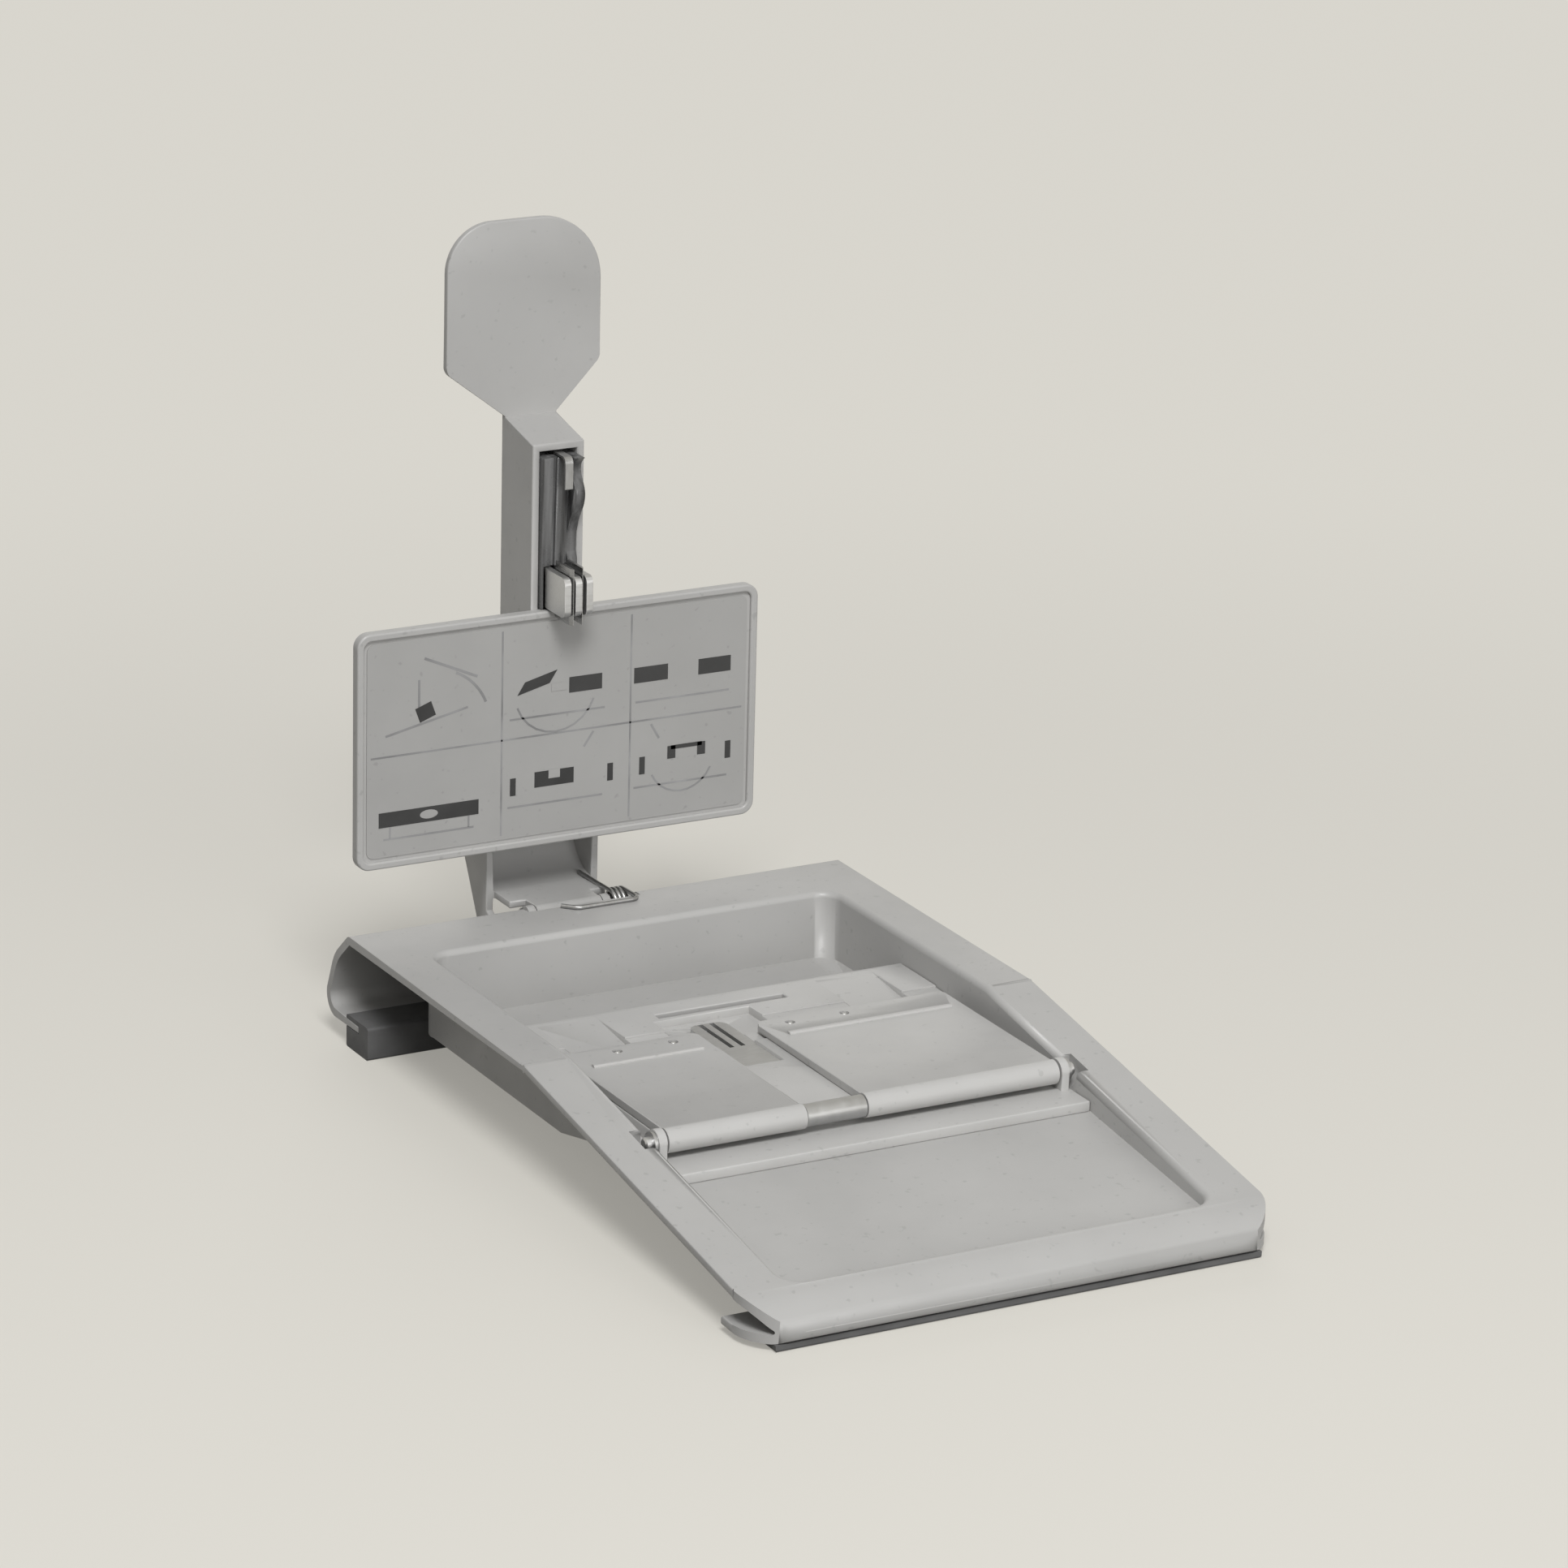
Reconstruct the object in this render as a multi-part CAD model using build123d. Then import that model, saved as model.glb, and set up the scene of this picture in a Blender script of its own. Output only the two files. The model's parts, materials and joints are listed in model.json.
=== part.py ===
from build123d import *
import math
import os

# Film splicer: a pressed sheet base with a finger scoop, two film flaps on one
# axle, a cutting anvil, and a swing arm that carries a lid plate and a cutter.
# Millimetres. +Z up, +X right, +Y to the rear. The origin is under the middle
# of the whole splicer, on the surface that its foot strips stand on.

# ---------------------------------------------------------------- base shell
base_width = 78.0
base_sheet = 1.2
overcut = 1.0               # how far a cutter reaches past what it cuts
deck_height = 16.4          # top of the level deck above the ground
deck_length = 55.1          # rear edge to the bend
slope_angle = 9.2           # degrees, fall of the deck in front of the bend
slope_run = 62.9            # level distance from the bend to the lip's corner
lip_angle = 45.0            # degrees, how steeply the lip turns down
lip_radius = 8.0
lip_under_radius = 1.6
lip_flange_height = 1.0     # underside of the front flange above the ground
lip_flange_length = 12.0
deck_bend_radius = 5.0
front_corner_radius = 7.0

rear_wall_knee = (4.6, 4.0)   # behind the rear edge, below the top of the deck
rear_wall_reach = 8.4
rear_edge_radius = 1.5
rear_knee_radius = 9.0
rear_curl_radius = 3.0
rear_flange_height = 3.0
rear_flange_tuck = 3.5      # how far the curled flange runs under the deck

# ------------------------------------------------------- recess in the base
rim_width = 7.3             # deck left beside the recess
recess_setback = 11.3       # rear edge of the deck to the recess
recess_front_margin = 3.5   # deck left between the recess and the lip's corner
recess_floor = 6.5          # top of the tub's floor above the ground
saddle_height = 8.2         # raised floor under the front of the film bed
saddle_behind_axle = (23.2, 15.2)  # foot and top of the rise to the saddle
scoop_front_floor = 4.7
recess_corner_radius = 3.0
recess_edge_radius = 0.9

# --------------------------------------------------------------- foot strips
front_foot_inset = 3.0      # foot strip's ends inside the base's sides
front_foot_depth = 9.0
rear_foot_depth = 6.6
rear_foot_height = 4.8
foot_edge_radius = 0.4
foot_groove_clearance = 0.05

# --------------------------------------------------------------- swing arm
# Heights of the arm and of all that it carries are above the hinge pin.
cut_line_x = -4.4           # the arm, anvil and cutter share this line
pivot_behind = 1.0          # hinge pin behind the deck's rear edge
pivot_drop = 1.6            # hinge pin below the top of the deck
arm_sheet = 1.1
stem_width = 8.0
stem_front_behind = 5.3     # front edges of the stem behind the deck's edge
arm_back_behind = 15.2      # rear face of the arm behind the deck's edge
root_width = 17.8
root_bottom = -4.3
root_top = 11.2
taper_top = 21.2
hip_behind = 16.0           # rearmost face of the root behind the deck's edge
hip_heights = (4.7, 9.2)
root_front_behind = 8.7     # front edges of the two cheeks
root_front_top = 7.7
front_step_top = 12.2       # above this the front edges are the stem's
heel_behind = 11.3          # lower rear corner of each cheek
toe_heights = (-2.8, -1.3)  # the toe below rests on the rear wall
toe_behind = 5.7
web_bend_radius = 7.0
web_knee_radius = 6.0
wall_top_front = 67.7
stem_top = 69.7
paddle_shoulder = 76.7
paddle_top = 97.8
paddle_width = 23.9
paddle_offset = -1.2        # middle of the paddle from the cut line
paddle_radii = (7.0, 9.5)   # upper left and upper right corners
shoulder_radius = 2.0
flange_reach = 6.0          # spot-weld flanges beside the stem
flange_bottom = 22.2
flange_height = 18.0

# ---------------------------------------------------------- lid plate, label
lid_side_gap = 0.25         # lid inside the recess's sides when it is down
lid_height = 34.6
lid_bottom = 9.2            # above the hinge pin
lid_sheet = 1.0
lid_border = 1.1
lid_border_rise = 0.5
lid_corner_radius = 2.0
label_margin = 0.5
label_thickness = 0.15

# --------------------------------------------------------------------- hinge
pin_radius = 0.8
pin_clearance = 0.05
knuckle_radius = 1.5
side_gap = 0.15             # play beside a turning knuckle or barrel
notch_depth = 1.6           # the notch in the deck, in front of its rear edge
notch_tail = 4.2            # how far the notch runs down behind the rear edge
notch_gap = 0.4             # beside what stands in the notch
ear_inner = 5.3             # inner face of each hinge ear from the cut line
ear_sheet = 1.2
ear_depth = 6.0
tongue_step = 2.7           # behind the pin the tongue is as wide as the root
bracket_half_width = 16.0
bracket_setback = (2.1, 9.6)
pin_head_radius = 1.3
pin_head = 0.6
clip_sheet = 0.5
spring_wire = 0.6
spring_turns = 3
spring_pitch = 0.68
spring_deck_gap = 0.05
spring_rear_leg = 9.0
spring_front_leg = 4.8
spring_side_leg = 9.8
spring_tip = (1.8, 1.8)     # last bend of the wire, to the left and to the rear
spring_bend_radius = 1.2

# -------------------------------------------------------------- film and bed
film_width = 8.2            # 8 mm film with running room
film_channel_depth = 0.3
cutter_arm = 47.0           # hinge pin to the middle of the cutter
film_gap = 0.3              # pad face above the film plane when closed
bed_top = 12.25
bed_thickness = 3.0
bed_leg = 2.0
bed_rear_setback = 32.0
bed_side_clearance = 0.1
ledge_height = 9.7
ledge_behind_axle = 2.8     # step down to the ledge that carries the axle
bed_past_axle = 6.5         # front end of the ledge in front of the axle
waste_slot_behind_film = 9.5
waste_slot_width = 1.6
waste_slot_reach = (-5.0, 15.0)    # from the cut line
hollow_depth = 0.9
hollow_reach = (-6.5, 8.5)         # from the cut line
relief_width = 9.0
relief_inset = 5.6          # from the recess wall to the finger relief
relief_depth = 1.5
relief_length = 14.0
boss_radius = 2.5
boss_inset = 7.7            # bed screws inside the recess's sides
boss_rear_setback = 38.0
boss_behind_axle = 9.2

# --------------------------------------------------------------------- anvil
anvil_width = 5.6
anvil_length = 17.0
anvil_overhang = 0.7        # anvil end behind the film
anvil_depth = 2.2
anvil_corner_radius = 1.4
anvil_slot_length = 9.4
anvil_slot_depth = 1.6
seat_clearance = 0.05

# --------------------------------------------------------------------- flaps
axle_radius = 0.9
axle_setback = 77.2
axle_height = 12.0
axle_clearance = 0.05
axle_end = 0.9              # axle beyond the recess's sides
barrel_wall = 0.75
flap_sheet = 1.1
flap_side_gap = 2.1         # outer end of each flap inside the recess's side
flap_inner = 4.6            # inner end of each flap from the cut line
flap_lift = 0.1             # flap above the bed when closed
film_overlap = 3.2          # how much of the film each flap holds
flap_corner_radius = 1.2
rib_setback = 6.0           # rib in front of the flap's free edge
rib_width = 0.9
rib_rise = 0.35
rib_margin = 2.0
bed_ear_gap = 0.3           # ear beside the end of a flap
bed_ear_sheet = 1.2
bed_ear_radius = 1.8
groove_bottom = 10.4        # groove in the bed beside each flap
pocket_radius = 2.5
pocket_depth = 1.9
clip_radius = 1.6
spacer_wall = 0.6

# --------------------------------------------------------- registration pins
reg_pin_radius = 0.45
reg_pin_rise = 1.5
reg_pin_from_edge = 1.2     # pin centre from the film's front edge
reg_pin_pitch = 8.46        # two frames of the film
reg_pin_offset = 9.0        # first pin from the cut line
reg_hole_clearance = 0.25

# -------------------------------------------------------------------- cutter
cutter_width = 4.4
cutter_height = 5.8
blade_gap = 0.7             # slit between two pad plates
blade_sheet = 0.4
blade_height = 8.2
blade_recess = 0.3          # blade edge behind the pad face
pad_nose_radius = 1.1
blade_bevel = 0.6
pad_travel = 1.5
pad_clearance = 0.1
pad_guide_depth = 4.5       # how deep the pad reaches into the carrier
yoke_depth = 1.5
yoke_rise = 0.85            # height of the bars that join the pad's three plates
tang_height = 3.4           # blade inside the carrier
tang_length = 7.0
cavity_room = 0.3           # behind the pad when it is pushed back
carrier_foot_depth = 4.5    # carrier below the top edge of the lid
carrier_top = 65.9          # above the hinge pin, under the roof of the stem
carrier_front = 0.6         # flat face round the pad in front of the stem's edges
carrier_side_gap = 0.05
carrier_waist = 1.3         # front of the straight ribs in front of the stem's edges
carrier_swell = 2.6         # the right rib swells twice, this far in front of the edges
swell_height = 61.2
waist_heights = (57.0, 63.7)
rib_count = 3               # upright ribs on the front
rib_groove = 0.6            # width and depth of the grooves between them
leaf_sheet = 0.3
leaf_width = 1.2
leaf_bend_radius = 0.8
leaf_rise = 0.2             # leaf above the carrier's top
leaf_hook = 4.4             # length of its hooked end
leaf_stand_off = 0.6        # hooked end in front of the carrier
leaf_slot_clearance = 0.15

# -------------------------------------------------------------------- screws
screw_radius = 1.1
screw_head_radius = 2.1
screw_head = 1.0
screw_slot_width = 0.5
screw_slot_depth = 0.5
bed_screw_length = 4.2
carrier_screw_length = 3.6
anvil_screw_length = 2.0
screw_clearance = 0.1

# ------------------------------------------------------------ derived places
half_width = base_width / 2
recess_half = half_width - rim_width
slope = math.tan(math.radians(slope_angle))
lip_corner_height = deck_height - slope_run * slope
lip_drop = lip_corner_height - lip_flange_height
lip_run = lip_drop / math.tan(math.radians(lip_angle))
under_tangent = lip_under_radius * math.tan(math.radians(90 - lip_angle / 2))
lip_front_setback = deck_length + slope_run + lip_run - under_tangent + lip_under_radius
rear_edge_y = (lip_front_setback - hip_behind) / 2

pivot_y = rear_edge_y + pivot_behind
pivot_z = deck_height - pivot_drop
stem_front_y = rear_edge_y + stem_front_behind
arm_back_y = rear_edge_y + arm_back_behind
hip_y = rear_edge_y + hip_behind
film_y = pivot_y - cutter_arm
film_z = bed_top - film_channel_depth
pad_face_y = pivot_y + film_z + film_gap - pivot_z

recess_rear_y = rear_edge_y - recess_setback
recess_front_y = rear_edge_y - deck_length - slope_run + recess_front_margin
bed_rear_y = rear_edge_y - bed_rear_setback
bed_half = recess_half - bed_side_clearance

axle_y = rear_edge_y - axle_setback
bed_front_y = axle_y - bed_past_axle
ledge_y = axle_y + ledge_behind_axle
barrel_radius = axle_radius + axle_clearance + barrel_wall
flap_outer = recess_half - flap_side_gap
bed_ear_inner = flap_outer + bed_ear_gap
flap_bottom = bed_top + flap_lift
flap_rear_y = film_y - film_width / 2 + film_overlap
anvil_rear_y = film_y + film_width / 2 + anvil_overhang
anvil_bottom = film_z - anvil_depth
reg_pin_y = film_y - film_width / 2 + reg_pin_from_edge
blade_offset = (cutter_width + blade_gap) / 6
cutter_top = cutter_arm + cutter_height / 2
lid_width = 2 * (recess_half - lid_side_gap)
lid_top = lid_bottom + lid_height
lid_face_y = stem_front_y - lid_sheet
carrier_face_y = stem_front_y - carrier_front
pad_back_y = carrier_face_y + pad_guide_depth


# ------------------------------------------------------------ small builders
def block(x0, x1, y0, y1, z0, z1):
    """Box between two opposite corners, given in any order."""
    return Pos((x0 + x1) / 2, (y0 + y1) / 2, (z0 + z1) / 2) * Box(abs(x1 - x0), abs(y1 - y0), abs(z1 - z0))


def prism_x(points, x0, x1):
    """Side-view outline of (y, z) points, run along X."""
    face = make_face(Plane.YZ.offset(x0) * Polyline(*points, close=True))
    return extrude(face, x1 - x0, dir=(1, 0, 0))


def prism_y(points, y0, y1):
    """Front-view outline of (x, z) points, run along Y."""
    moved = [Vector(x, y0, z) for x, z in points]
    return extrude(make_face(Polyline(*moved, close=True)), y1 - y0, dir=(0, 1, 0))


def rod_x(x0, x1, y, z, radius):
    """Round bar along X."""
    return Pos((x0 + x1) / 2, y, z) * Rot(0, 90, 0) * Cylinder(radius, abs(x1 - x0))


def rod_y(x, z, y0, y1, radius):
    """Round bar along Y."""
    return Pos(x, (y0 + y1) / 2, z) * Rot(90, 0, 0) * Cylinder(radius, abs(y1 - y0))


def rod_z(x, y, z0, z1, radius):
    """Round bar along Z."""
    return Pos(x, y, (z0 + z1) / 2) * Cylinder(radius, abs(z1 - z0))


def rounded_plan(half_x, y0, y1, z0, z1, radius):
    """Upright block with rounded vertical corners, centred on X = 0."""
    body = block(-half_x, half_x, y0, y1, z0, z1)
    return fillet(body.edges().filter_by(Axis.Z), radius)


def deck_top(y):
    """Height of the deck's upper face at y."""
    bend_y = rear_edge_y - deck_length
    return deck_height - max(0.0, bend_y - y) * slope


def floor_outline(drop):
    """Side view of the recess floor from the rear to the front, lowered by `drop`."""
    foot, top = saddle_behind_axle
    return [
        (axle_y + foot, recess_floor - drop),
        (axle_y + top, saddle_height - drop),
        (bed_front_y, saddle_height - drop),
        (recess_front_y, scoop_front_floor - drop),
    ]


# --------------------------------------------------------------- base shell
def deck_strip():
    """The deck with its rear wall, front lip and both turned-in flanges."""
    knee_behind, knee_drop = rear_wall_knee
    lip_y = rear_edge_y - deck_length - slope_run
    outline = [
        (rear_edge_y - rear_flange_tuck, rear_flange_height),
        (rear_edge_y + rear_wall_reach, rear_flange_height),
        (rear_edge_y + knee_behind, deck_height - knee_drop),
        (rear_edge_y, deck_height),
        (rear_edge_y - deck_length, deck_height),
        (lip_y, lip_corner_height),
        (lip_y - lip_run, lip_flange_height),
        (lip_y - lip_run + lip_flange_length, lip_flange_height),
    ]
    lip_face = lip_drop / math.sin(math.radians(lip_angle)) - under_tangent
    lip_turn = math.tan(math.radians((lip_angle - slope_angle) / 2))
    radii = [
        rear_curl_radius,
        rear_knee_radius,
        rear_edge_radius,
        deck_bend_radius,
        min(lip_radius, lip_face * 0.95 / lip_turn),
        lip_under_radius,
    ]
    edge = Plane.YZ.offset(-half_width) * FilletPolyline(*outline, radius=radii)
    inner = offset(edge, amount=base_sheet, side=Side.RIGHT, closed=True)
    return extrude(make_face(inner), base_width, dir=(1, 0, 0))


def recess_walls(half_x, rear_y, front_y, drop, corner_radius):
    """Solid filling the recess from `drop` under its floor up to the deck."""
    bend_y = rear_edge_y - deck_length
    outline = [
        (front_y, scoop_front_floor - drop),
        (front_y, deck_top(front_y)),
        (bend_y, deck_height),
        (rear_y, deck_top(rear_y)),
        (rear_y, recess_floor - drop),
    ]
    outline = outline + floor_outline(drop)
    filling = prism_x(outline, -half_x, half_x)
    plan = rounded_plan(half_x, front_y, rear_y, 0, deck_height * 2, corner_radius)
    return filling & plan


def recess_opening():
    """Everything above the recess floor, up through the deck."""
    outline = [
        (recess_front_y, deck_height + base_sheet),
        (recess_rear_y, deck_height + base_sheet),
        (recess_rear_y, recess_floor),
    ]
    outline = outline + floor_outline(0)
    filling = prism_x(outline, -recess_half, recess_half)
    plan = rounded_plan(
        recess_half, recess_front_y, recess_rear_y, 0, deck_height * 2, recess_corner_radius
    )
    return filling & plan


def rim_edges(shell):
    """Upper edges of the recess opening, at the height of the deck."""
    found = []
    for edge in shell.edges():
        middle = edge @ 0.5
        near_deck = abs(middle.Z - deck_top(middle.Y)) < base_sheet / 4
        near_side = abs(middle.X) < recess_half + 0.01
        near_ends = recess_front_y - 0.01 < middle.Y < recess_rear_y + 0.01
        if near_deck and near_side and near_ends:
            found.append(edge)
    return ShapeList(found)


def bed_screw_places():
    """Places of the screws of the film bed: x, y and the floor's height there."""
    places = []
    boss_x = recess_half - boss_inset
    for x in (-boss_x, boss_x):
        places.append((x, rear_edge_y - boss_rear_setback, recess_floor))
        places.append((x, axle_y + boss_behind_axle, saddle_height))
    return places


def base_shell():
    """Deck, recess, axle pockets, screw holes and the hinge notch in one sheet."""
    strip = deck_strip()
    front_y = rear_edge_y - lip_front_setback
    plan = block(-half_width, half_width, front_y, arm_back_y, 0, 2 * deck_height)
    corners = plan.edges().filter_by(Axis.Z).sort_by(Axis.Y)[:2]
    strip = strip & fillet(corners, front_corner_radius)
    tray = recess_walls(
        recess_half + base_sheet,
        recess_rear_y + base_sheet,
        recess_front_y - base_sheet,
        base_sheet,
        recess_corner_radius + base_sheet,
    )
    shell = strip + tray - recess_opening()
    shell = fillet(rim_edges(shell), recess_edge_radius)
    for side in (-1, 1):
        wall = side * (recess_half + base_sheet / 2)
        end = side * (recess_half + pocket_depth)
        cup = rod_x(wall, end + side * base_sheet, axle_y, axle_height, pocket_radius + base_sheet)
        below = block(-half_width, half_width, front_y, rear_edge_y, 0, deck_top(axle_y) - base_sheet / 2)
        start = side * (recess_half - base_sheet)
        shell = shell + (cup & below)
        shell = shell - rod_x(start, end, axle_y, axle_height, pocket_radius)
    for x, y, floor in bed_screw_places():
        shell = shell - rod_z(x, y, 0, floor + base_sheet, screw_radius + screw_clearance)
    notch = block(
        cut_line_x - ear_inner - ear_sheet - clip_sheet - notch_gap,
        spring_end_x() + pin_head + notch_gap,
        rear_edge_y - notch_depth,
        rear_edge_y + rear_wall_knee[0] + base_sheet,
        deck_height - notch_tail,
        deck_height + base_sheet,
    )
    return shell - notch


# --------------------------------------------------------------- foot strips
def front_foot_strip():
    """Rubber strip under the flat of the front flange."""
    flange_end_y = rear_edge_y - deck_length - slope_run - lip_run + lip_flange_length
    start = flange_end_y - front_foot_depth
    half = half_width - front_foot_inset
    strip = block(-half, half, start, flange_end_y, 0, lip_flange_height)
    return fillet(strip.faces().sort_by(Axis.Z)[0].edges(), foot_edge_radius)


def rear_foot_strip():
    """Rubber strip with a groove that grips the curled rear flange."""
    flange_end_y = rear_edge_y - rear_flange_tuck
    strip = block(
        -half_width,
        half_width,
        rear_edge_y - rear_foot_depth,
        rear_edge_y + foot_edge_radius,
        0,
        rear_foot_height,
    )
    strip = fillet(strip.edges().filter_by(Axis.X), foot_edge_radius)
    groove = block(
        -base_width,
        base_width,
        flange_end_y - foot_groove_clearance,
        rear_edge_y + base_sheet,
        rear_flange_height,
        rear_flange_height + base_sheet,
    )
    return strip - groove


# ------------------------------------------------------------------ film bed
def bed_profile():
    """Side view of the bed: rear leg, platform and the ledge in front of the axle."""
    platform_under = bed_top - bed_thickness
    saddle_y = axle_y + saddle_behind_axle[1]
    return [
        (bed_rear_y, recess_floor),
        (bed_rear_y, bed_top),
        (ledge_y, bed_top),
        (ledge_y, ledge_height),
        (bed_front_y, ledge_height),
        (bed_front_y, saddle_height),
        (saddle_y, saddle_height),
        (saddle_y, platform_under),
        (bed_rear_y - bed_leg, platform_under),
        (bed_rear_y - bed_leg, recess_floor),
    ]


def relief_ramp(x0, x1):
    """Cutter for a finger relief that deepens towards the flap's free edge."""
    start = flap_rear_y + relief_length
    outline = [
        (start, bed_top),
        (flap_rear_y, bed_top - relief_depth),
        (flap_rear_y - flap_sheet, bed_top - relief_depth),
        (flap_rear_y - flap_sheet, bed_top + flap_sheet),
        (start, bed_top + flap_sheet),
    ]
    return prism_x(outline, x0, x1)


def anvil_plan(z0, z1, grow):
    """Outline of the anvil with its rounded rear corners."""
    half = anvil_width / 2 + grow
    body = block(
        cut_line_x - half,
        cut_line_x + half,
        anvil_rear_y - anvil_length - grow,
        anvil_rear_y + grow,
        z0,
        z1,
    )
    corners = body.edges().filter_by(Axis.Z).sort_by(Axis.Y)[-2:]
    return fillet(corners, anvil_corner_radius)


def film_bed():
    """Die-cast bed that carries the film, the anvil and the flap axle."""
    bed = prism_x(bed_profile(), -bed_half, bed_half)
    platform_under = bed_top - bed_thickness
    for x, y, floor in bed_screw_places():
        bed = bed + rod_z(x, y, floor, platform_under + bed_thickness / 2, boss_radius)
    for side in (-1, 1):
        ear_start = side * bed_ear_inner
        ear_end = side * (bed_ear_inner + bed_ear_sheet)
        x0, x1 = min(ear_start, ear_end), max(ear_start, ear_end)
        web = block(
            x0,
            x1,
            axle_y - bed_ear_radius,
            axle_y + bed_ear_radius,
            (ledge_height + saddle_height) / 2,
            axle_height,
        )
        bed = bed + web + rod_x(x0, x1, axle_y, axle_height, bed_ear_radius)
    bed = bed - rod_x(-bed_half, bed_half, axle_y, axle_height, axle_radius + seat_clearance)
    channel = block(
        -bed_half,
        bed_half,
        film_y - film_width / 2,
        film_y + film_width / 2,
        film_z,
        bed_top + flap_sheet,
    )
    waste_slot = block(
        cut_line_x + waste_slot_reach[0],
        cut_line_x + waste_slot_reach[1],
        film_y + waste_slot_behind_film - waste_slot_width / 2,
        film_y + waste_slot_behind_film + waste_slot_width / 2,
        platform_under - bed_thickness,
        bed_top + flap_sheet,
    )
    hollow = block(
        cut_line_x + hollow_reach[0],
        cut_line_x + hollow_reach[1],
        flap_rear_y,
        film_y + waste_slot_behind_film - waste_slot_width,
        film_z - hollow_depth,
        bed_top + flap_sheet,
    )
    bed = bed - channel - waste_slot - hollow
    for side in (-1, 1):
        edge = side * (flap_outer + flap_lift)
        bed = bed - block(edge, side * recess_half, ledge_y, flap_rear_y, groove_bottom, bed_top + overcut)
        outer = side * (recess_half - relief_inset)
        inner = outer - side * relief_width
        bed = bed - relief_ramp(min(outer, inner), max(outer, inner))
    bed = bed - anvil_plan(anvil_bottom, bed_top + flap_sheet, seat_clearance)
    for x, y, floor in bed_screw_places():
        bore_top = floor - base_sheet + bed_screw_length + screw_clearance
        bed = bed - rod_z(x, y, floor - base_sheet, bore_top, screw_radius + seat_clearance)
    anvil_hole = rod_z(
        cut_line_x,
        anvil_screw_y(),
        platform_under - bed_thickness,
        bed_top,
        screw_radius + screw_clearance,
    )
    bed = bed - anvil_hole
    for x in reg_pin_places():
        bed = bed - rod_z(x, reg_pin_y, film_z - bed_thickness / 2, bed_top, reg_pin_radius)
    return bed


def anvil_screw_y():
    """The anvil's screw sits between its front end and the blade slots."""
    slot_front = film_y - anvil_slot_length / 2
    anvil_front = anvil_rear_y - anvil_length
    return (slot_front + anvil_front) / 2


def cutting_anvil():
    """Hardened tongue under the film with one slot for each blade."""
    anvil = anvil_plan(anvil_bottom, film_z, 0)
    for side in (-1, 1):
        x = cut_line_x + side * blade_offset
        anvil = anvil - block(
            x - blade_gap / 2,
            x + blade_gap / 2,
            film_y - anvil_slot_length / 2,
            film_y + anvil_slot_length / 2,
            film_z - anvil_slot_depth,
            film_z + overcut,
        )
    bore_top = bed_top - bed_thickness + anvil_screw_length
    return anvil - rod_z(
        cut_line_x, anvil_screw_y(), 0, bore_top, screw_radius + seat_clearance
    )


def reg_pin_places():
    """Two pins under each flap, one film pitch apart."""
    places = []
    for side in (-1, 1):
        first = cut_line_x + side * reg_pin_offset
        places.append(first)
        places.append(first + side * reg_pin_pitch)
    return places


def registration_pins():
    """Pins with domed ends that enter the film's perforation."""
    pins = []
    for x in reg_pin_places():
        pin = rod_z(x, reg_pin_y, film_z - bed_thickness / 2, film_z + reg_pin_rise, reg_pin_radius)
        tip = pin.edges().sort_by(Axis.Z)[-1]
        pins.append(fillet(tip, reg_pin_radius * 0.8))
    return Compound(children=pins)


# --------------------------------------------------------------- flap hinges
def flap_axle():
    """One straight axle for both flaps, chamfered at its ends."""
    half = recess_half + axle_end
    axle = rod_x(-half, half, axle_y, axle_height, axle_radius)
    return chamfer(axle.edges().filter_by(GeomType.CIRCLE), axle_radius / 4)


def snap_ring(x0, x1, y, z, bore, radius, mouth_angle):
    """C-shaped ring along X whose mouth points along `mouth_angle` in the YZ plane."""
    ring = rod_x(x0, x1, y, z, radius) - rod_x(x0 - overcut, x1 + overcut, y, z, bore)
    mouth = block(x0 - overcut, x1 + overcut, 0, 2 * radius, -bore * 0.8, bore * 0.8)
    mouth = Pos(0, y, z) * Rot(mouth_angle, 0, 0) * mouth
    return ring - mouth


def axle_clips():
    """Snap rings outside the bed's ears."""
    clips = []
    inner = bed_ear_inner + bed_ear_sheet
    for side in (-1, 1):
        x0, x1 = sorted((side * inner, side * (inner + clip_sheet)))
        clips.append(snap_ring(x0, x1, axle_y, axle_height, axle_radius, clip_radius, -90))
    return Compound(children=clips)


def axle_spacer():
    """Tube that keeps the two flaps apart."""
    bore = axle_radius + seat_clearance
    x0 = cut_line_x - flap_inner + side_gap
    x1 = cut_line_x + flap_inner - side_gap
    tube = rod_x(x0, x1, axle_y, axle_height, bore + spacer_wall)
    return tube - rod_x(x0 - overcut, x1 + overcut, axle_y, axle_height, bore)


def film_flap(x0, x1):
    """Flat flap with a stiffening rib, rolled round the axle at its front."""
    plate = block(x0, x1, axle_y, flap_rear_y, flap_bottom, flap_bottom + flap_sheet)
    corners = plate.edges().filter_by(Axis.Z).sort_by(Axis.Y)[-2:]
    plate = fillet(corners, flap_corner_radius)
    rib_y = flap_rear_y - rib_setback
    rib = block(
        x0 + rib_margin,
        x1 - rib_margin,
        rib_y - rib_width / 2,
        rib_y + rib_width / 2,
        flap_bottom + flap_sheet / 2,
        flap_bottom + flap_sheet + rib_rise,
    )
    rib = fillet(rib.edges().filter_by(Axis.X).sort_by(Axis.Z)[-2:], rib_rise * 0.8)
    flap = plate + rib + rod_x(x0, x1, axle_y, axle_height, barrel_radius)
    bore = axle_radius + axle_clearance
    flap = flap - rod_x(x0 - overcut, x1 + overcut, axle_y, axle_height, bore)
    for x in reg_pin_places():
        if x0 < x < x1:
            flap = flap - rod_z(
                x,
                reg_pin_y,
                bed_top,
                flap_bottom + flap_sheet + rib_rise,
                reg_pin_radius + reg_hole_clearance,
            )
    return flap


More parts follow.
